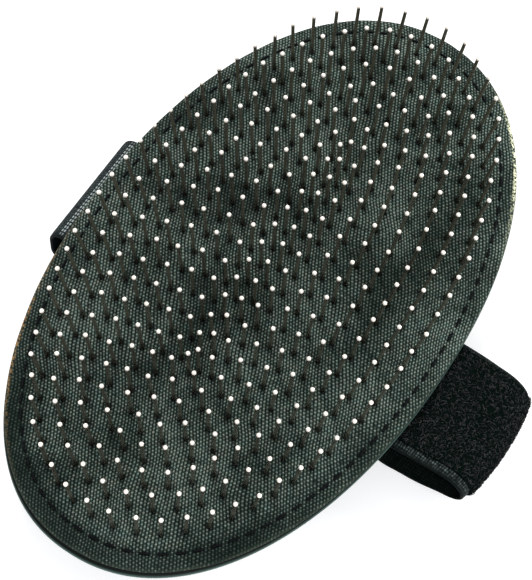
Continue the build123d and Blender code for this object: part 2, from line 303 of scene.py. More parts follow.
class Nodes:
    """A short way to write a material's node tree."""

    def __init__(self, name):
        self.material = bpy.data.materials.new(name)
        self.material.use_nodes = True
        self.tree = self.material.node_tree
        self.tree.nodes.clear()
        self.out = self.tree.nodes.new("ShaderNodeOutputMaterial")
        self.shader = self.tree.nodes.new("ShaderNodeBsdfPrincipled")
        self.link(self.shader.outputs[0], self.out.inputs["Surface"])

    def link(self, source, target):
        self.tree.links.new(source, target)

    def set(self, socket, value):
        """Joins a socket to another node's output, or gives it a plain value."""
        if isinstance(value, bpy.types.NodeSocket):
            self.link(value, socket)
        elif value is not None:
            socket.default_value = value

    def add(self, kind, inputs=None, **settings):
        """A node with its settings, its inputs joined or given values."""
        node = self.tree.nodes.new(kind)
        for key, value in settings.items():
            setattr(node, key, value)
        for key, value in (inputs or {}).items():
            self.set(node.inputs[key], value)
        return node

    def math(self, operation, a, b=None):
        return self.add("ShaderNodeMath", {0: a, 1: b}, operation=operation).outputs[0]

    def plus(self, a, b):
        return self.math("ADD", a, b)

    def minus(self, a, b):
        return self.math("SUBTRACT", a, b)

    def times(self, a, b):
        return self.math("MULTIPLY", a, b)

    def wave(self, value, period):
        """A sine of a length in millimetres."""
        return self.math("SINE", self.times(value, 2 * math.pi / period))

    def place(self):
        """Coordinates in millimetres on the object: (vector, x, y, z)."""
        vector = self.add("ShaderNodeTexCoord").outputs["Object"]
        scale = self.add("ShaderNodeVectorMath", operation="SCALE")
        self.link(vector, scale.inputs[0])
        self.set(scale.inputs["Scale"], 1 / MM)
        split = self.add("ShaderNodeSeparateXYZ", {0: scale.outputs[0]})
        return scale.outputs[0], *split.outputs

    def attribute(self, name):
        return self.add("ShaderNodeAttribute", attribute_name=name).outputs["Fac"]

    def noise(self, vector, scale, detail=2.0, rough=0.5):
        inputs = {"Vector": vector, "Scale": scale, "Detail": detail, "Roughness": rough}
        return self.add("ShaderNodeTexNoise", inputs).outputs["Fac"]

    def stretch(self, vector, factors):
        return self.add("ShaderNodeMapping", {"Vector": vector, "Scale": factors}).outputs[0]

    def ramp(self, value, stops):
        node = self.add("ShaderNodeValToRGB", {0: value})
        for element, (at, colour) in zip(node.color_ramp.elements, stops):
            element.position = at
            element.color = (*colour, 1)
        return node.outputs[0]

    def mix(self, share, a, b):
        a, b = ((*c, 1) if isinstance(c, tuple) else c for c in (a, b))
        return self.add("ShaderNodeMix", {"Factor": share, "A": a, "B": b}, data_type="RGBA").outputs["Result"]

    def bump(self, height, strength, distance_mm):
        inputs = {"Height": height, "Strength": strength, "Distance": distance_mm * MM}
        self.link(self.add("ShaderNodeBump", inputs).outputs[0], self.shader.inputs["Normal"])

    def finish(self, colour, rough, metal=None, **others):
        self.set(self.shader.inputs["Base Color"], colour)
        self.set(self.shader.inputs["Roughness"], rough)
        self.set(self.shader.inputs["Metallic"], metal)
        for key, value in others.items():
            self.set(self.shader.inputs[key.replace("_", " ")], value)
        return self.material


# Colours: a pair is the dark and the light end of a mottled surface
BLACK, WHITE = (0, 0, 0), (1, 1, 1)
CANVAS_GROUND = (0.0010, 0.0046, 0.0030), (0.0026, 0.0068, 0.0055)
CANVAS_THREAD_SHINE = (0.104, 0.214, 0.190), (0.275, 0.275, 0.225)
HEM_WEAR = (0.060, 0.078, 0.058)
WARM_EDGE_FLECK = (0.40, 0.23, 0.09)
HEM_GLINT = (0.92, 0.93, 0.62)
HOLE_SHADE = (0.0010, 0.0020, 0.0016)
BACKING_COAT = (0.0050, 0.0130, 0.0095), (0.0120, 0.0220, 0.0175)
BACKING_EDGE_LIGHT = (0.075, 0.130, 0.112)
GAP_SHADE = (0.0008, 0.0020, 0.0014)
RIBBED_YARN_SHINE = (0.0030, 0.0055, 0.0055), (0.062, 0.080, 0.084)
TAPE_YARN_SHINE = (0.0010, 0.0034, 0.0026), (0.105, 0.132, 0.128)
ROW_HIGHLIGHT = (0.34, 0.39, 0.38)
PILE_GROUND = (0.0006, 0.0026, 0.0018), (0.0016, 0.0045, 0.0035)
PILE_LOOP = (0.0015, 0.0048, 0.0040), (0.0060, 0.0100, 0.0090)
PILE_SHEEN = (0.055, 0.070, 0.078), (0.085, 0.066, 0.062)
SEWING_THREAD = (0.0010, 0.0012, 0.0016), (0.0060, 0.0070, 0.0085)
BRONZED_STEEL = (0.240, 0.218, 0.165), (0.390, 0.350, 0.270)
POLISHED_TIP_SHINE = (0.92, 0.80, 0.70), (0.98, 0.92, 0.84)
RUBBER_BLACK = (0.018, 0.018, 0.017), (0.034, 0.033, 0.031)
FOAM_GREY = (0.045, 0.045, 0.048), (0.12, 0.12, 0.125)
NYLON_BLACK = (0.012, 0.013, 0.015), (0.030, 0.032, 0.036)
FLOOR_PALE = (0.62, 0.62, 0.62), (0.64, 0.64, 0.64)

# Pitches of the webbing's twill, of the dashes in its painted highlight rows, and of the thread's plies
TWILL_PITCH = 0.95
DASH_PITCH = 1.35
PLY_PITCH = 0.45


def canvas_material():
    """Plain-weave nylon: staggered light thread crowns on dark ground, in ribs along the warp; the crowns'
    lightness is partly the yarn and partly painted highlight.
    """
    n = Nodes("canvas_weave")
    at, x, y, _ = n.place()
    wander = n.times(n.minus(n.noise(at, 0.03, 2), 0.5), 7.0)
    cos_t, sin_t = math.cos(WEAVE_TURN), math.sin(WEAVE_TURN)
    across = n.plus(n.times(x, cos_t), n.times(y, sin_t))
    along = n.minus(n.times(y, cos_t), n.times(x, sin_t))
    jitter = n.times(n.minus(n.noise(at, 0.6, 2), 0.5), 0.28)
    across = n.plus(n.plus(across, wander), jitter)
    column = n.math("COSINE", n.times(across, math.pi / WARP_PITCH))
    crest = n.math("COSINE", n.times(n.plus(along, jitter), 2 * math.pi / DOT_PITCH))
    rib = n.math("ABSOLUTE", column)
    narrow = n.times(column, n.times(rib, rib))
    thread = n.math("POWER", n.math("MAXIMUM", n.times(narrow, crest), 0.0), 1.05)
    lift = n.plus(n.times(thread, 0.7), n.times(rib, 0.3))

    patches = n.ramp(n.noise(at, 0.040, 3, 0.6), [(0.36, BLACK), (0.64, WHITE)])
    specks = n.noise(at, 0.9, 2, 0.6)
    # shine: painted highlight on the thread crowns and ribs
    shine = n.plus(thread, n.times(n.times(rib, rib), 0.20))
    shine = n.times(shine, n.plus(-0.70, n.times(specks, 3.3)))
    shine = n.times(shine, n.plus(0.35, n.times(patches, 1.20)))
    # Painted shade: the thread crowns darker towards the rim, most on its near half
    shine = n.times(n.math("MAXIMUM", shine, 0.0), n.minus(1.0, n.attribute("rim_dim")))
    ground = n.mix(patches, *CANVAS_GROUND)
    tint = n.mix(n.noise(at, 0.5, 2), *CANVAS_THREAD_SHINE)
    colour = n.mix(n.math("MINIMUM", shine, 1.0), ground, tint)
    colour = n.mix(n.times(n.attribute("wear"), 0.45), colour, HEM_WEAR)
    fleck = n.ramp(n.noise(at, 1.5, 2, 0.7), [(0.47, BLACK), (0.57, WHITE)])
    # Warm brown flecks on the fold at the left side
    colour = n.mix(n.times(n.attribute("fray"), fleck), colour, WARM_EDGE_FLECK)
    colour = n.mix(n.times(n.attribute("glint"), fleck), colour, HEM_GLINT)
    shade = n.math("MAXIMUM", n.attribute("pin_shade"), n.attribute("seam_shade"))
    colour = n.mix(shade, colour, HOLE_SHADE)
    rough = n.minus(0.72, n.times(thread, 0.22))
    n.bump(lift, 0.55, 0.22)
    return n.finish(colour, rough, Specular_IOR_Level=0.05)


def backing_material():
    """Coated backing: smooth, dark green grey, with faint grain and scuffed high spots, painted light on its
    rounded edge and painted shade where it meets the hem.
    """
    n = Nodes("coated_backing")
    at = n.place()[0]
    grain = n.noise(at, 2.4, 4, 0.6)
    scuff = n.noise(n.stretch(at, (0.05, 0.09, 0.09)), 1.0, 4, 0.65)
    colour = n.mix(scuff, *BACKING_COAT)
    # Painted light on the outermost round of the backing's edge
    colour = n.mix(n.times(n.attribute("wear"), 0.85), colour, BACKING_EDGE_LIGHT)
    colour = n.mix(n.attribute("gap_shade"), colour, GAP_SHADE)
    rough = n.plus(0.42, n.times(scuff, 0.25))
    n.bump(grain, 0.25, 0.12)
    return n.finish(colour, rough, Specular_IOR_Level=0.12)


def webbing_material(name, dark, light):
    """Ribbed webbing: the ribs are in the mesh, and the twill of each rib is here; light ticks on the rib
    crests are the twill's yarn with painted highlight, and the inner face has painted shade.
    """
    n = Nodes(name)
    at, _, y, _ = n.place()
    rib = n.attribute("rib")
    twill = n.wave(y, TWILL_PITCH)
    twill = n.times(n.plus(twill, 1.0), 0.5)
    stray = n.noise(at, 1.1, 3, 0.6)
    # Light ticks on the rib crests: the twill's yarn with painted highlight
    ticks = n.times(n.math("POWER", rib, 2.0), n.plus(n.times(twill, 0.75), 0.25))
    ticks = n.times(ticks, n.attribute("painted_face_light"))
    stray = n.math("MAXIMUM", n.minus(n.times(stray, 4.4), 1.6), 0.0)
    colour = n.mix(n.math("MINIMUM", n.times(ticks, stray), 1.0), dark, light)
    dash = n.math("GREATER_THAN", n.wave(y, DASH_PITCH), -0.3)
    # Painted highlight: dashes along the two rows on the loop's top, beside the rim
    colour = n.mix(n.times(n.attribute("painted_highlight_row"), dash), colour, ROW_HIGHLIGHT)
    n.bump(n.times(twill, rib), 0.5, 0.15)
    return n.finish(colour, 0.62, Specular_IOR_Level=0.05)


def pile_material(name, dark, light):
    n = Nodes(name)
    at = n.place()[0]
    clump = n.noise(at, 0.35, 3, 0.6)
    strand = n.noise(at, 1.6, 1)
    colour = n.mix(clump, dark, light)
    yarn = n.mix(strand, *PILE_SHEEN)
    colour = n.mix(n.attribute("sheen"), colour, yarn)
    n.bump(n.noise(at, 2.6, 3, 0.7), 0.9, 0.35)
    return n.finish(colour, 0.9, Specular_IOR_Level=0.02)


def thread_material():
    n = Nodes("black_thread")
    _, x, y, z = n.place()
    twist = n.wave(n.plus(n.plus(x, y), z), PLY_PITCH)
    colour = n.mix(n.times(n.plus(twist, 1.0), 0.5), *SEWING_THREAD)
    n.bump(twist, 0.5, 0.08)
    return n.finish(colour, 0.6, Specular_IOR_Level=0.06)


def wire_material():
    """Dark bronzed steel wire, drawn along its length, with duller oxide patches."""
    n = Nodes("pin_wire")
    at = n.place()[0]
    drawn = n.noise(n.stretch(at, (3.0, 3.0, 0.25)), 1.0, 3, 0.6)
    oxide = n.noise(at, 0.5, 3, 0.6)
    colour = n.mix(oxide, *BRONZED_STEEL)
    rough = n.plus(0.14, n.times(drawn, 0.14))
    n.bump(drawn, 0.25, 0.03)
    return n.finish(colour, rough, 0.9)


def tip_material():
    n = Nodes("polished_tip_painted_shine")
    at = n.place()[0]
    polish = n.noise(at, 2.2, 2)
    # Near-white colour: the pale tip with a painted highlight on it, bright from every side
    colour = n.mix(polish, *POLISHED_TIP_SHINE)
    rough = n.plus(0.16, n.times(polish, 0.10))
    n.bump(polish, 0.1, 0.02)
    return n.finish(colour, rough, 0.35, Specular_IOR_Level=0.6)


def rubber_material():
    n = Nodes("foundation_rubber")
    at = n.place()[0]
    fine = n.noise(at, 1.8, 4, 0.6)
    colour = n.mix(n.noise(at, 0.08, 3), *RUBBER_BLACK)
    n.bump(fine, 0.3, 0.1)
    return n.finish(colour, n.plus(0.55, n.times(fine, 0.2)))


def foam_material():
    n = Nodes("open_cell_foam")
    at = n.place()[0]
    cells = n.add("ShaderNodeTexVoronoi", {"Vector": at, "Scale": 1.3}).outputs["Distance"]
    colour = n.mix(cells, *FOAM_GREY)
    n.bump(cells, 0.8, 0.4)
    return n.finish(colour, 0.9)


def hook_material():
    n = Nodes("hook_nylon")
    at = n.place()[0]
    colour = n.mix(n.noise(at, 0.9, 2), *NYLON_BLACK)
    return n.finish(colour, 0.38, Specular_IOR_Level=0.5)


CANVAS = canvas_material()
BACKING = backing_material()
RIBBED = webbing_material("ribbed_webbing", *RIBBED_YARN_SHINE)
TAPE_WEAVE = webbing_material("tape_weave", *TAPE_YARN_SHINE)
PILE_MAT = pile_material("loop_pile_ground", *PILE_GROUND)
PILE_FIBRE = pile_material("loop_pile_fibre", *PILE_LOOP)
THREAD = thread_material()
WIRE = wire_material()
TIP = tip_material()
RUBBER = rubber_material()
FOAM = foam_material()
HOOKS = hook_material()


# --- Pins ---

PIN_SIDES = 12
SHAFT_RADIUS = 0.57
BALL_RADIUS = 0.69
BALL_RINGS = 7


def pin_profile(length):
    """(height, radius, is tip) rings of a pin with a small rounded end."""
    ball_centre = length - BALL_RADIUS
    rings = [(0.0, SHAFT_RADIUS, False), (length * 0.5, SHAFT_RADIUS, False)]
    neck = -math.acos(SHAFT_RADIUS / BALL_RADIUS)
    for k in range(BALL_RINGS):
        angle = neck + (math.pi / 2 - neck) * k / BALL_RINGS
        rings.append((ball_centre + BALL_RADIUS * math.sin(angle), BALL_RADIUS * math.cos(angle), k > 0))
    return rings


def make_pins(ring):
    """All the pins of one CAD ring, each on the axis of its CAD solid: (foot, axis) of each pin."""
    node = f"pins_ring_{ring}"
    verts, faces, tips = [], [], []
    bases = []
    for points in islands(node):
        low, high = long_axis(points)
        axis = Vector(high - low)
        length = axis.length
        axis.normalize()
        side = axis.orthogonal().normalized()
        other = axis.cross(side)
        bases.append((Vector(low), axis))
        start = len(verts)
        rings = pin_profile(length)
        for height, radius, _ in rings:
            for k in range(PIN_SIDES):
                turn = 2 * math.pi * k / PIN_SIDES
                spoke = side * math.cos(turn) + other * math.sin(turn)
                verts.append(Vector(low) + axis * height + spoke * radius)
        verts.append(Vector(low) + axis * length)
        top = len(verts) - 1
        tube(faces, start, PIN_SIDES, len(rings) - 1)
        for _, _, is_tip in rings[1:]:
            tips += [is_tip] * PIN_SIDES
        last = start + (len(rings) - 1) * PIN_SIDES
        for k in range(PIN_SIDES):
            faces.append((last + k, last + (k + 1) % PIN_SIDES, top))
            tips.append(True)
        faces.append(tuple(start + k for k in range(PIN_SIDES - 1, -1, -1)))
        tips.append(False)
    pins = new_mesh(f"wire_pins_ring_{ring}", verts, faces)
    pins.data.materials.append(WIRE)
    pins.data.materials.append(TIP)
    pins.data.polygons.foreach_set("material_index", [int(tip) for tip in tips])
    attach(pins, "pad")
    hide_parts(node)
    return bases


def foot(low, axis):
    """Where a pin meets the pad's front, as x and y."""
    front = Vector(crown(low.x, low.y, 0.0))
    at = low + axis * ((front.z - low.z) / axis.z)
    return at.x, at.y


pin_axes = []
for ring in range(1, 9):
    pin_axes += make_pins(ring)
PIN_FEET = np.array([foot(low, axis) for low, axis in pin_axes])


# --- Front cover ---

def seam_inset(theta):
    """Distance of the stitch line from the pad's edge: less along the sides than at the ends."""
    side = np.abs(np.cos(theta)) ** 1.5
    return STITCH_INSET - np.where(np.cos(theta) > 0, 1.6, 1.0) * side


SEAM_TURN = np.linspace(0, 2 * math.pi, 4001)
SEAM_STEPS = np.hypot(*np.diff(oval_xy(SEAM_TURN, STITCH_INSET), axis=1))
SEAM_LENGTH = np.concatenate([[0], np.cumsum(SEAM_STEPS)])
RIM_THREADS = islands("rim_stitching")


def stitch_beat(theta):
    """1 at the middle of each stitch of the rim's seam, -1 between two stitches."""
    length = np.interp(np.mod(theta, 2 * math.pi), SEAM_TURN, SEAM_LENGTH)
    stitches = length / SEAM_LENGTH[-1] * len(RIM_THREADS) / 2
    return np.cos(2 * math.pi * (stitches - 0.5))


def around(theta, middle, spread):
    """A soft hump about a direction; both angles in degrees."""
    return np.exp(-((theta - math.radians(middle)) / math.radians(spread)) ** 2)


def undulation(x, y):
    """Soft waves of cloth that is not pulled quite flat, and finer creases along the warp."""
    across = x * math.cos(WEAVE_TURN) + y * math.sin(WEAVE_TURN)
    along = y * math.cos(WEAVE_TURN) - x * math.sin(WEAVE_TURN)
    out = np.empty(len(x))
    for i, (px, py, ac, al) in enumerate(zip(x, y, across, along)):
        wave = 0.65 * noise.noise(Vector((px / 26, py / 34, 1.7)))
        crease = 0.14 * noise.noise(Vector((ac / 4.5, al / 22, 4.1)))
        out[i] = wave + crease
    return out


def nearest_pin(x, y):
    near = np.full(len(x), 1e9)
    for fx, fy in PIN_FEET:
        near = np.minimum(near, (x - fx) ** 2 + (y - fy) ** 2)
    return np.sqrt(near)


def front_lift(x, y, theta, inset):
    """Height of the canvas above the plain bent sheet."""
    beat = stitch_beat(theta)
    off_seam = inset - seam_inset(theta)
    groove = -(0.42 + 0.10 * beat) * np.exp(-(off_seam / 0.75) ** 2)
    pucker = 0.10 * beat * np.exp(-(off_seam / 2.6) ** 2)
    pad = PUFF * smooth_step(STITCH_INSET - 0.3, STITCH_INSET + 8.5, inset)
    wave = undulation(x, y) * smooth_step(2.0, 14.0, inset)
    dimple = -0.38 * np.exp(-(nearest_pin(x, y) / 1.15) ** 2)
    return groove + pucker + pad + wave + dimple


def make_front_cover():
    """Canvas over the pins' feet, folded under at the rim as a hem that ends between the layers."""
    shell = Shell(220, 372, GRID_INSET, near=FAR_FROM_PINS, wear=0, glint=0, seam=0, rim_dim=0, fray=0)
    x, y, theta = shell.x, shell.y, shell.theta
    count = len(theta)
    grid_theta = np.arctan2(y / HALF_LENGTH, x / HALF_WIDTH)
    shell.points(x, y, front_lift(x, y, grid_theta, inset_of(x, y)), near=nearest_pin(x, y))

    dash = 0.03 + 0.90 * smooth_step(-0.25, 0.45, stitch_beat(theta))
    # Painted shade near the rim: a little all round, most on the near half (negative y)
    dim = 0.12 + 0.58 * np.clip(-np.sin(theta), 0, 1)
    lit = np.clip(1.3 * around(theta, 48, 12), 0, 1)
    # Warm brown flecks on the front of the fold at the left side
    frayed = 0.8 * around(theta, -147, 17)

    # The face, with finer rings where the stitches draw it in
    for inset in (*np.arange(GRID_INSET - 0.6, STITCH_INSET + 1.3, -0.55),
                  *np.arange(STITCH_INSET + 1.2, STITCH_INSET - 2.8, -0.3),
                  *np.arange(STITCH_INSET - 2.9, 1.0, -0.5)):
        place = oval_xy(theta, inset)
        lift = front_lift(*place, theta, np.full(count, inset))
        shell.ring(place, lift - EDGE_DROP * smooth_step(1.5, 0.6, inset), near=nearest_pin(*place),
                   glint=0.35 * lit * smooth_step(1.1, 0.7, inset),
                   seam=dash * np.exp(-((inset - seam_inset(theta)) / 0.48) ** 2),
                   rim_dim=dim * smooth_step(GRID_INSET, GRID_INSET - 4, inset))

    # The fold, a little ragged
    ragged = np.array([noise.noise(Vector((math.cos(t) * 9, math.sin(t) * 9, 2.2))) for t in theta])
    fold = RIM_FRONT / 2
    edge_lift = front_lift(*oval_xy(theta, 0.9), theta, np.full(count, 0.9)) - EDGE_DROP
    for angle in np.radians((80, 60, 40, 20, 0, -20, -40, -60, -80)):
        shell.ring(oval_xy(theta, fold * (1 - math.cos(angle)) + 0.10 * ragged),
                   edge_lift - fold + fold * math.sin(angle),
                   wear=np.full(count, max(0.0, math.cos(angle - 0.3)) ** 2) * (0.7 + 0.5 * ragged),
                   glint=lit * max(0.0, math.sin(angle + 0.15)), rim_dim=dim,
                   fray=frayed * max(0.0, math.sin(angle + 0.9)))

    # The hem's underside, its raw end, and back out between the layers
    for inset, depth in ((2.0, RIM_FRONT), (4.0, RIM_FRONT), (6.0, RIM_FRONT), (HEM_WIDTH, RIM_FRONT),
                         (HEM_WIDTH + 0.05, 1.2), (HEM_WIDTH - 0.2, 0.85)):
        shell.ring(oval_xy(theta, inset), -depth)

    cover = shell.close("canvas_front_cover", -CLOTH)
    near = shell.values["near"]
    paint(cover, "pin_shade", 0.66 * np.exp(-(near / 1.05) ** 4) + 0.32 * np.exp(-(near / 2.1) ** 2))
    paint(cover, "seam_shade", shell.values["seam"])
    paint(cover, "rim_dim", shell.values["rim_dim"])
    paint(cover, "fray", shell.values["fray"])
    paint(cover, "wear", np.clip(shell.values["wear"], 0, 1))
    paint(cover, "glint", np.clip(shell.values["glint"], 0, 1))
    fit(cover, CANVAS, "pad", "front_cover")
    return cover


front_cover = make_front_cover()


# --- Back cover, foundation and foam ---

def back_lift(x, y, inset):
    """Height of the backing's outer face above the plain bent sheet."""
    tray = (PAD_BACK - RIM_TOTAL) * smooth_step(STITCH_INSET + 0.6, STITCH_INSET + 6.0, inset)
    groove = 0.25 * np.exp(-((inset - STITCH_INSET) / 0.8) ** 2)
    wave = np.array([0.18 * noise.noise(Vector((px / 22, py / 30, 8.8))) for px, py in zip(x, y)])
    return -RIM_TOTAL - tray + groove + wave * smooth_step(6.0, 16.0, inset)


def make_back_cover():
    """The coated backing: a shallow tray with a thick rounded edge that shows below the hem."""
    shell = Shell(90, 160, GRID_INSET, wear=0, gap=0)
    x, y, theta = shell.x, shell.y, shell.theta
    shell.points(x, y, back_lift(x, y, inset_of(x, y)))
    for inset in (8.0, 7.2, 6.6, 6.0, 5.6, 5.3, 5.0, 4.6, 4.0, 3.0, 2.0, 1.2):
        place = oval_xy(theta, inset)
        shell.ring(place, back_lift(*place, np.full(len(theta), inset)))
    top = -(RIM_FRONT + RIM_GAP)
    middle = (top - RIM_TOTAL) / 2
    half = (RIM_TOTAL + top) / 2
    outset = BACK_OUTSET + NEAR_OUTSET * around(theta, -100, 50)
    # The rounded edge: painted light on its outermost round, painted shade on its top under the hem
    for angle in np.radians((-75, -50, -25, 0, 25, 50, 75)):
        shell.ring(oval_xy(theta, -outset + 0.8 * (1 - math.cos(angle))), middle + half * math.sin(angle),
                   wear=math.cos(angle) ** 2, gap=max(0.0, math.sin(angle)) ** 4)
    for inset, lift in ((2.5, top + 0.02), (4.4, top + 0.25), (6.3, top + 0.2), (HEM_WIDTH, top)):
        shell.ring(oval_xy(theta, inset), lift, gap=1)
    cover = shell.close("coated_back_cover", -(PAD_BACK - 1.4))
    paint(cover, "wear", shell.values["wear"])
    paint(cover, "gap_shade", shell.values["gap"])
    fit(cover, BACKING, "pad", "back_cover")
    return cover


back_cover = make_back_cover()


def make_inner_layer(name, node, top, bottom, edge, material):
    """A bent oval layer inside the pad with a rounded edge."""
    shell = Shell(60, 100, LAYER_INSET + edge)
    shell.points(shell.x, shell.y, -top)
    middle, half = -(top + bottom) / 2, (bottom - top) / 2
    for angle in np.radians((60, 30, 0, -30, -60)):
        shell.ring(oval_xy(shell.theta, LAYER_INSET + edge * (1 - math.cos(angle))),
                   middle + half * math.sin(angle))
    layer = shell.close(name, -bottom)
    fit(layer, material, "pad", node)
    return layer


LAYER_INSET = 7.9
make_inner_layer("rubber_pin_foundation", "pin_foundation", 0.85, 2.25, 0.6, RUBBER)
foam = make_inner_layer("foam_padding", "foam_core", 2.3, 4.25, 1.0, FOAM)


# --- Stitches ---

RIM_STITCH = 3.3
STRAP_STITCH = 2.6
LONGEST_STITCH = 4.0


def make_threads(name, node, body, stitches, radius, bow):
    """Threads that rise out of the cloth, run along it and dive back in: (middle, along, out, length)."""
    sides, steps = 7, 8
    verts, faces = [], []
    for middle, along, out, length in stitches:
        cross = along.cross(out).normalized()
        start = len(verts)
        for s in range(steps + 1):
            t = s / steps * 2 - 1
            centre = middle + along * (t * length / 2) + out * (bow * (1 - abs(t) ** 4) - bow * 0.55)
            for k in range(sides):
                turn = 2 * math.pi * k / sides
                verts.append(centre + (cross * math.cos(turn) + out * math.sin(turn)) * radius)
        tube(faces, start, sides, steps)
        faces.append(tuple(start + k for k in range(sides - 1, -1, -1)))
        faces.append(tuple(start + steps * sides + k for k in range(sides)))
    fit(new_mesh(name, verts, faces), THREAD, body, node)


def rim_stitches():
    """The rim's stitches, each where its CAD thread is but moved onto the visual's own seam line."""
    stitches = []
    for points in RIM_THREADS:
        low, high = long_axis(points)
        middle = (low + high) / 2
        plain = crown(middle[0], middle[1], 0.0)
        on_front = middle[2] > plain[2] - 1.0
        theta = math.atan2(middle[1] / (HALF_LENGTH - STITCH_INSET),
                           middle[0] / (HALF_WIDTH - STITCH_INSET))
        inset = np.array([float(seam_inset(theta))])
        x, y = oval_xy(np.array([theta]), inset)
        middle[:2] = x[0], y[0]
        plain = crown(middle[0], middle[1], 0.0)
        if on_front:
            lift = front_lift(x, y, np.array([theta]), inset)[0] + 0.20
        else:
            lift = back_lift(x, y, inset)[0] - 0.12
        up = Vector(crown(middle[0], middle[1], 1.0) - plain)
        along = Vector(high - low).normalized()
        out = up if on_front else -up
        at = Vector(crown(middle[0], middle[1], lift))
        stitches.append((at, along, out, RIM_STITCH))
    return stitches


make_threads("rim_stitch_line", "rim_stitching", "pad", rim_stitches(), 0.30, 0.45)


def strap_stitches(node, out, push):
    """The short threads of a CAD node, pushed out by a distance."""
    stitches = []
    for points in islands(node):
        if np.ptp(points, axis=0).max() > LONGEST_STITCH:
            continue
        low, high = long_axis(points)
        middle = Vector((low + high) / 2) + out * push
        stitches.append((middle, Vector(high - low).normalized(), out, STRAP_STITCH))
    return stitches


for side in ("left", "right"):
    node = f"{side}_anchor_stitching"
    sewn = strap_stitches(node, Vector((0, 0, -1)), 0.1)
    make_threads(f"{side}_anchor_stitch_box", node, "pad", sewn, 0.25, 0.35)
sewn = strap_stitches("hook_tape_stitching", Vector((0, 0, 1)), 0.0)
make_threads("hook_tape_stitch_line", "hook_tape_stitching", "hook_tab", sewn, 0.22, 0.3)


# --- Straps ---

class StrapLine:
    """The middle line of a strap in the XZ plane: straight runs joined by arcs, with outward normals."""

    def __init__(self, corners, radii, side, step):
        corners = [np.array(c, float) for c in corners]
        points = [corners[0]]
        for i, radius in zip(range(1, len(corners) - 1), radii):
            before, here, after = corners[i - 1], corners[i], corners[i + 1]
            into = (here - before) / np.linalg.norm(here - before)
            away = (after - here) / np.linalg.norm(after - here)
            turn = math.acos(max(-1.0, min(1.0, float(into @ away))))
            cut = radius * math.tan(turn / 2)
            cross = into[0] * away[1] - into[1] * away[0]
            inward = np.array([-into[1], into[0]]) * (1 if cross > 0 else -1)
            centre = here - into * cut + inward * radius
            arms = max(2, int(turn * radius / 0.25))
            for k in range(arms + 1):
                angle = turn * k / arms * (1 if cross > 0 else -1)
                c, s = math.cos(angle), math.sin(angle)
                arm = -inward * radius
                points.append(centre + np.array([arm[0] * c - arm[1] * s, arm[0] * s + arm[1] * c]))
        points.append(corners[-1])
        points = np.array(points)
        lengths = np.concatenate([[0], np.cumsum(np.linalg.norm(np.diff(points, axis=0), axis=1))])
        keep = np.concatenate([[True], np.diff(lengths) > 1e-6])
        points, lengths = points[keep], lengths[keep]
        self.length = lengths[-1]
        self.s = np.linspace(0, self.length, max(2, int(self.length / step) + 1))
        self.x = np.interp(self.s, lengths, points[:, 0])
        self.z = np.interp(self.s, lengths, points[:, 1])
        dx, dz = np.gradient(self.x, self.s), np.gradient(self.z, self.s)
        size = np.hypot(dx, dz)
        self.nx, self.nz = side * dz / size, -side * dx / size

    def place(self, s, y, out):
        """Points at length s along the line, at y, out from the line on its outer side."""
        nx, nz = np.interp(s, self.s, self.nx), np.interp(s, self.s, self.nz)
        size = np.hypot(nx, nz)
        x = np.interp(s, self.s, self.x) + nx / size * out
        z = np.interp(s, self.s, self.z) + nz / size * out
        return np.stack([x, y, z], -1)


EDGE_WAVE = 0.12
# Share of the light ticks kept on a strap's inner face: painted shade inside the loops
INNER_FACE_LIGHT = 0.12


def make_band(name, line, y_mid, width, thick, material, relief, seed,
              half_at=None, settle=None, bright=None):
    """A closed strip of cloth along a line, with rounded selvedges and a relief on both faces."""
    across = 24
    stations = len(line.s)
    half = np.full(stations, width / 2) if half_at is None else half_at(line.s)
    wave = np.array([EDGE_WAVE * noise.noise(Vector((s / 9, seed, 0.3))) for s in line.s])
    tilt = np.linspace(-1, 1, across)
    edge = np.radians((60, 20, -20, -60))
    rows, rib_rows = [], []
    radius = thick / 2

    def row(v, out, rib):
        y = y_mid + v * (half - radius) + wave
        rows.append(line.place(line.s, y, out))
        rib_rows.append(np.full(stations, rib))

    def selvedge(side, angles):
        for angle in angles:
            extra = radius * math.cos(angle) / np.maximum(half - radius, 0.1)
            row(side * (1 + extra), radius * math.sin(angle), 0.0)

    for v in tilt:
        lift = relief(line.s, np.full(stations, v))
        row(v, radius + lift, lift)
    selvedge(1, edge)
    for v in tilt[::-1]:
        lift = relief(line.s + 0.4, np.full(stations, v))
        row(v, -radius - lift, lift)
    selvedge(-1, edge[::-1])
    count = len(rows)
    verts = np.concatenate(rows)
    lifts = np.concatenate(rib_rows)
    crest = np.clip(lifts / max(1e-6, lifts.max()), 0, 1)
    glow = np.zeros(len(verts))
    # The painted highlight rows lie on the rib crests of the outer face
    if bright is not None:
        face = slice(across * stations)
        glow[face] = (bright(verts) * crest ** 3)[face]
    if settle is not None:
        verts = settle(verts)
    faces = []
    for r in range(count):
        a, b = r * stations, ((r + 1) % count) * stations
        for i in range(stations - 1):
            faces.append((a + i, a + i + 1, b + i + 1, b + i))
    faces.append(tuple(r * stations for r in range(count)))
    faces.append(tuple(r * stations + stations - 1 for r in range(count - 1, -1, -1)))
    band = new_mesh(name, verts, faces)
    face_outwards(band)
    paint(band, "rib", crest)
    paint(band, "painted_highlight_row", glow)
    # Painted shade: the inner face keeps only a small share of the light ticks
    outer = np.arange(len(verts)) < (across + len(edge)) * stations
    paint(band, "painted_face_light", np.where(outer, 1.0, INNER_FACE_LIGHT))
    band.data.materials.append(material)
    return band


def cross_ribs(pitch, height):
    """Ribs that run across the strap."""
    def relief(s, v):
        edge = 1 - 0.6 * smooth_step(0.93, 1.0, np.abs(v))
        return height * np.abs(np.sin(math.pi * s / pitch)) ** 0.8 * edge
    return relief


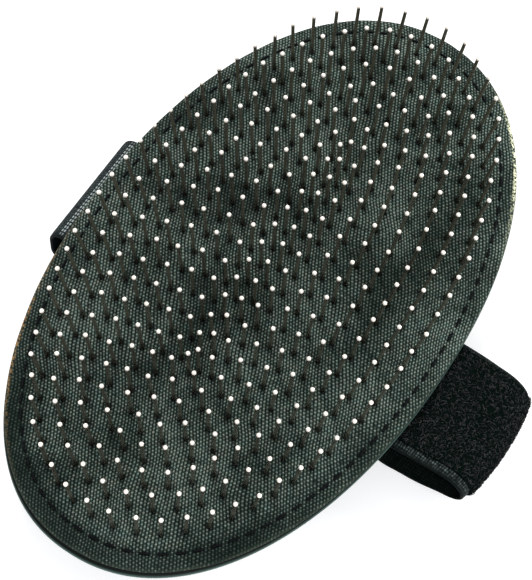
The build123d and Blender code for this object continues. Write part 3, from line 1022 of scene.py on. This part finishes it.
def anchor_corners(side, thick, y):
    """Corners of the sewn run under the pad, from its inner end to the tray's edge."""
    low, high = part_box("left_strap_anchor" if side < 0 else "right_strap_anchor")
    inner = min(abs(low.x), abs(high.x)) / MM
    outer = max(abs(low.x), abs(high.x)) / MM
    found = []
    for k in range(5):
        x = side * (inner + (outer - 1.5 - inner) * k / 4)
        point = crown(x, y, -(PAD_BACK + thick / 2))
        found.append((float(point[0]), float(point[2])))
    return found


LOOP_TOP_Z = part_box("right_strap_side_loop")[1].z / MM


TAB_SPLIT_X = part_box("left_strap_lower_run")[1].x / MM - 7.0
TAB_END_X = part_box("strap_tab")[1].x / MM
TAB_CORNER = 6.0
STATION = 0.14
RIBBED_THICK = WEBBING - 0.24


def left_line():
    low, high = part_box("left_strap_side_loop")
    fold_x = low.x / MM + WEBBING / 2
    top_z = high.z / MM - WEBBING / 2
    corners = anchor_corners(-1, WEBBING, LEFT_Y)
    corners += [(-53.5, LOOP_TOP_Z - WEBBING / 2), (fold_x, top_z)]
    corners += [(fold_x, WEBBING / 2), (TAB_SPLIT_X, WEBBING / 2)]
    return StrapLine(corners, (60, 60, 60, 14, 6, 6.2, 4.0), 1, STATION)


LEFT_RIBS = cross_ribs(0.85, 0.12)


def catches_light(points):
    """Where the painted highlight goes: the two rows beside the rim, on the top of the loop."""
    x, z = points[:, 0], points[:, 2]
    return (np.abs(x + 60.1) < 0.80) * (z > 12)


def settle_left(points):
    """The loop is drawn a little towards the pad's far end at its fold."""
    x, y, z = points.T
    return np.stack([x, y + 0.9 * smooth_step(-52, -62, x), z], -1)


left_strap = make_band("left_strap_webbing", left_line(), LEFT_Y, STRAP_WIDTH, RIBBED_THICK, RIBBED,
                       LEFT_RIBS, seed=3.0, settle=settle_left, bright=catches_light)
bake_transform(left_strap)
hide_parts("left_strap_anchor", "left_strap_side_loop", "left_strap_lower_run")

tab_line = StrapLine([(TAB_SPLIT_X, WEBBING / 2), (TAB_END_X - 0.1, WEBBING / 2)], (), 1, STATION)


def tab_half(s):
    left = np.clip(TAB_CORNER - (tab_line.length - s), 0, TAB_CORNER)
    return TRIMMED_WIDTH / 2 - (TAB_CORNER - np.sqrt(np.maximum(TAB_CORNER ** 2 - left ** 2, 0.02)))


strap_tab = make_band("left_strap_tab", tab_line, LEFT_Y, TRIMMED_WIDTH, RIBBED_THICK, RIBBED,
                      LEFT_RIBS, half_at=tab_half, seed=3.0)
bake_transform(strap_tab)
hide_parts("strap_tab")


def right_corners(out):
    """Corners of the right strap's loop and lower run, out from the tape's middle line."""
    side_low, side_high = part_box("right_strap_side_loop")
    run_low, run_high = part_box("right_strap_lower_run")
    fold_x = side_high.x / MM - TAPE / 2 + out
    top_z = LOOP_TOP_Z - TAPE / 2 + out
    floor_z = side_low.z / MM + TAPE / 2 - out
    over_z = run_high.z / MM - TAPE / 2 - out
    return [(fold_x, top_z), (fold_x, floor_z), (56.0, floor_z), (47.5, over_z),
            (run_low.x / MM + 0.1, over_z)]


def settle_right(points):
    """The loop's fold stands furthest out at its middle, and its top sags towards the fold."""
    x, y, z = points.T
    v = (y - RIGHT_Y) / (STRAP_WIDTH / 2)
    reach = smooth_step(54, 83, x)
    draw = 1.9 * np.clip(v, 0, 1.2) ** 2.5 + 2.4 * np.clip(-v, 0, 1.2) ** 2
    sag = 1.2 * smooth_step(56, 84, x) * np.clip(z / LOOP_TOP_Z, 0, 1.2)
    rise = 2.0 * smooth_step(64, 82, x) * np.clip(1 - z / LOOP_TOP_Z, 0, 1)
    slant = reach * (1.0 - 1.6 * np.clip(v, 0, 1.2))
    return np.stack([x - reach * draw, y + slant, z - sag + rise], -1)


TOP_RADIUS, LOW_RADIUS = 9.0, 4.9
right_path = anchor_corners(1, TAPE, RIGHT_Y) + [(53.0, LOOP_TOP_Z - TAPE / 2)] + right_corners(0.0)
right_line = StrapLine(right_path,
                       (60, 60, 60, 14, 6, TOP_RADIUS, LOW_RADIUS, 8, 8), -1, 0.12)
right_strap = make_band("right_strap_tape", right_line, RIGHT_Y, TRIMMED_WIDTH, TAPE - 0.16, TAPE_WEAVE,
                        cross_ribs(0.90, 0.09), seed=9.0, settle=settle_right)
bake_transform(right_strap)
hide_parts("right_strap_anchor", "right_strap_side_loop", "right_strap_lower_run")

# The pile: a knitted mat with thousands of curled loops standing on it
MAT = 0.95
PILE_START_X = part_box("loop_pile_side_loop")[0].x / MM
pile_line = StrapLine([(PILE_START_X, LOOP_TOP_Z)] + right_corners(TAPE / 2),
                      (TOP_RADIUS + TAPE / 2, LOW_RADIUS + TAPE / 2, 8, 8), -1, 0.35)


def mat_relief(s, v):
    lumps = np.array([noise.noise(Vector((a / 1.3, b * 13, 5.0))) for a, b in zip(s, v)])
    return 0.07 * lumps * (1 - smooth_step(0.9, 1.0, np.abs(v)))


mat_line = StrapLine([(PILE_START_X, LOOP_TOP_Z + MAT / 2)] + right_corners(TAPE / 2 + MAT / 2),
                     (TOP_RADIUS + 0.9, LOW_RADIUS + 0.9, 8, 8), -1, 0.35)
PILE_NEAR = RIGHT_Y - PILE_HALF
PILE_FAR = RIGHT_Y + PILE_HALF + 1.6
pile_mat = make_band("loop_pile_ground", mat_line, (PILE_NEAR + PILE_FAR) / 2, PILE_FAR - PILE_NEAR,
                     MAT, PILE_MAT, mat_relief, seed=9.0, settle=settle_right)
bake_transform(pile_mat)
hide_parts("loop_pile_side_loop", "loop_pile_lower_run")


def make_fibres(count, seed):
    """Curled loops of yarn: each rises from the mat, wanders over it and dives back in."""
    rng = np.random.default_rng(seed)
    sides, steps = 3, 6
    # Three in four stand on the top and round the fold, where the pile shows
    shown = 58.0
    on_show = rng.random(count) < 0.75
    s = np.where(on_show, rng.uniform(0, shown, count), rng.uniform(shown, pile_line.length, count))
    y = rng.uniform(PILE_NEAR + 0.3, PILE_FAR - 0.3, count)
    heading = rng.uniform(0, 2 * math.pi, count)
    curl = rng.uniform(-4.2, 4.2, count)
    reach = rng.uniform(0.6, 1.5, count)
    height = rng.uniform(0.20, 0.55, count)
    radius = rng.uniform(0.06, 0.10, count)
    t = np.linspace(0, 1, steps + 1)
    angle = heading[:, None] + curl[:, None] * (t - 0.5)
    ds = np.cumsum(np.cos(angle), axis=1) * reach[:, None] / steps
    dy = np.cumsum(np.sin(angle), axis=1) * reach[:, None] / steps
    along = np.clip(s[:, None] + ds - ds.mean(1, keepdims=True), 0.2, pile_line.length - 0.2)
    side = np.clip(y[:, None] + dy - dy.mean(1, keepdims=True), PILE_NEAR - 0.3, PILE_FAR + 0.2)
    out = np.minimum(MAT - 0.15 + height[:, None] * np.sin(math.pi * t) ** 0.8, PILE - 0.1)
    centre = settle_right(pile_line.place(along.ravel(), side.ravel(), out.ravel()))
    centre = centre.reshape(count, steps + 1, 3)
    forward = np.gradient(centre, axis=1)
    forward /= np.linalg.norm(forward, axis=2, keepdims=True)
    first = np.cross(forward, (0.31, 0.77, 0.55))
    first /= np.linalg.norm(first, axis=2, keepdims=True)
    second = np.cross(forward, first)
    turn = 2 * math.pi * np.arange(sides) / sides
    spoke = first[:, :, None] * np.cos(turn)[:, None] + second[:, :, None] * np.sin(turn)[:, None]
    verts = (centre[:, :, None] + spoke * radius[:, None, None, None]).reshape(-1, 3)
    faces = []
    for start in range(0, len(verts), sides * (steps + 1)):
        tube(faces, start, sides, steps)
    fibres = new_mesh("loop_pile_fibres", verts, faces)
    sheen = rng.random(count) ** 2.5
    paint(fibres, "sheen", np.repeat(sheen, (steps + 1) * sides))
    fibres.data.materials.append(PILE_FIBRE)
    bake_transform(fibres)
    return fibres


fibres = make_fibres(11000, 5)


def make_hook_tape():
    low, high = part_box("hook_tape")
    lx, ly, lz = low / MM
    hx, hy, _ = high / MM
    base = 0.30
    line = StrapLine([(lx, lz + base / 2), (hx, lz + base / 2)], (), -1, 0.5)
    tape = make_band("hook_tape_base", line, (ly + hy) / 2, hy - ly, base, HOOKS, cross_ribs(1.2, 0.03), 4.0)
    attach(tape, "hook_tab")
    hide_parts("hook_tape")
    sides, steps = 4, 6
    rng = random.Random(12)
    verts, faces = [], []
    pitch = 1.55
    rows, columns = int((hx - lx - 2.4) / pitch), int((hy - ly - 2.4) / pitch)
    for r in range(rows + 1):
        for c in range(columns + 1):
            x = lx + 1.2 + r * pitch
            y = ly + 1.2 + c * pitch + (pitch / 2 if r % 2 else 0)
            if y > hy - 1.0:
                continue
            lean = 1 if r % 2 else -1
            start = len(verts)
            for k in range(steps + 1):
                t = k / steps
                angle = math.pi * 0.95 * max(0.0, t - 0.35) / 0.65
                stem = min(t / 0.35, 1.0) * 0.30
                px = x + lean * 0.19 * (1 - math.cos(angle))
                pz = lz + base + stem + 0.19 * math.sin(angle)
                tangent = Vector((lean * math.sin(angle), 0, math.cos(angle)))
                first = Vector((0, 1, 0))
                second = tangent.cross(first)
                for j in range(sides):
                    turn = 2 * math.pi * (j + 0.5) / sides
                    offset = (first * math.cos(turn) + second * math.sin(turn)) * 0.085
                    verts.append(Vector((px, y + rng.uniform(-0.02, 0.02), pz)) + offset)
            tube(faces, start, sides, steps)
            faces.append(tuple(start + steps * sides + j for j in range(sides)))
    hooks = new_mesh("hook_tape_hooks", verts, faces)
    hooks.data.materials.append(HOOKS)
    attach(hooks, "hook_tab")


make_hook_tape()


# --- Floor, light and camera ---

def make_floor():
    n = Nodes("pale_floor")
    at = n.place()[0]
    pale = n.mix(n.noise(at, 0.01, 2), *FLOOR_PALE)
    n.finish(pale, 0.9, Specular_IOR_Level=0.1, Emission_Color=(1, 1, 1, 1), Emission_Strength=0.55)
    bpy.ops.mesh.primitive_plane_add(size=6.0, location=(0, 0, -0.0002))
    floor = bpy.context.active_object
    floor.name = "floor"
    floor.data.materials.append(n.material)
    # The strap stands on the floor, so the floor goes with it and the pad rises
    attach(floor, "hand_strap")


LIT_POINT = (0, 0, 0.02)


def area_light(name, place, size, watts, colour):
    data = bpy.data.lights.new(name, "AREA")
    data.shape = "DISK"
    data.size = size
    data.energy = watts
    data.color = colour
    light = bpy.data.objects.new(name, data)
    scene.collection.objects.link(light)
    light.location = place
    light.rotation_euler = (Vector(LIT_POINT) - Vector(place)).to_track_quat("-Z", "Y").to_euler()


make_floor()
area_light("key", (-0.55, 0.65, 1.15), 0.7, 16, (1.0, 0.99, 0.97))
area_light("fill", (0.9, -0.7, 1.0), 1.0, 9, (0.96, 0.98, 1.0))
area_light("rim", (0.9, 0.8, 0.5), 0.35, 6, (1.0, 1.0, 0.97))

world = bpy.data.worlds.new("studio")
world.use_nodes = True
sky = world.node_tree.nodes["Background"].inputs
sky["Color"].default_value = (0.95, 0.97, 1.0, 1)
sky["Strength"].default_value = 0.8
scene.world = world
scene.view_settings.view_transform = "Standard"

CAMERA_PLACE = (0.1249, -0.2349, 0.5335)
camera_data = bpy.data.cameras.new("camera")
camera_data.sensor_fit = "AUTO"
camera_data.sensor_width = 36.0
camera_data.lens = 122.75
camera_data.clip_start = 0.05
camera = bpy.data.objects.new("camera", camera_data)
scene.collection.objects.link(camera)
right = Vector((0.84203, 0.53781, 0.04175))
up = Vector((-0.49345, 0.73667, 0.46241))
back = Vector((0.21793, -0.40996, 0.88568))
look = (right * -0.00183 + up * -0.01069 - back).normalized()
back = -look
right = (right - back * right.dot(back)).normalized()
up = back.cross(right)
turned = Matrix((right, up, back)).transposed().to_4x4()
camera.matrix_world = Matrix.Translation(CAMERA_PLACE) @ turned
bpy.context.scene.camera = camera
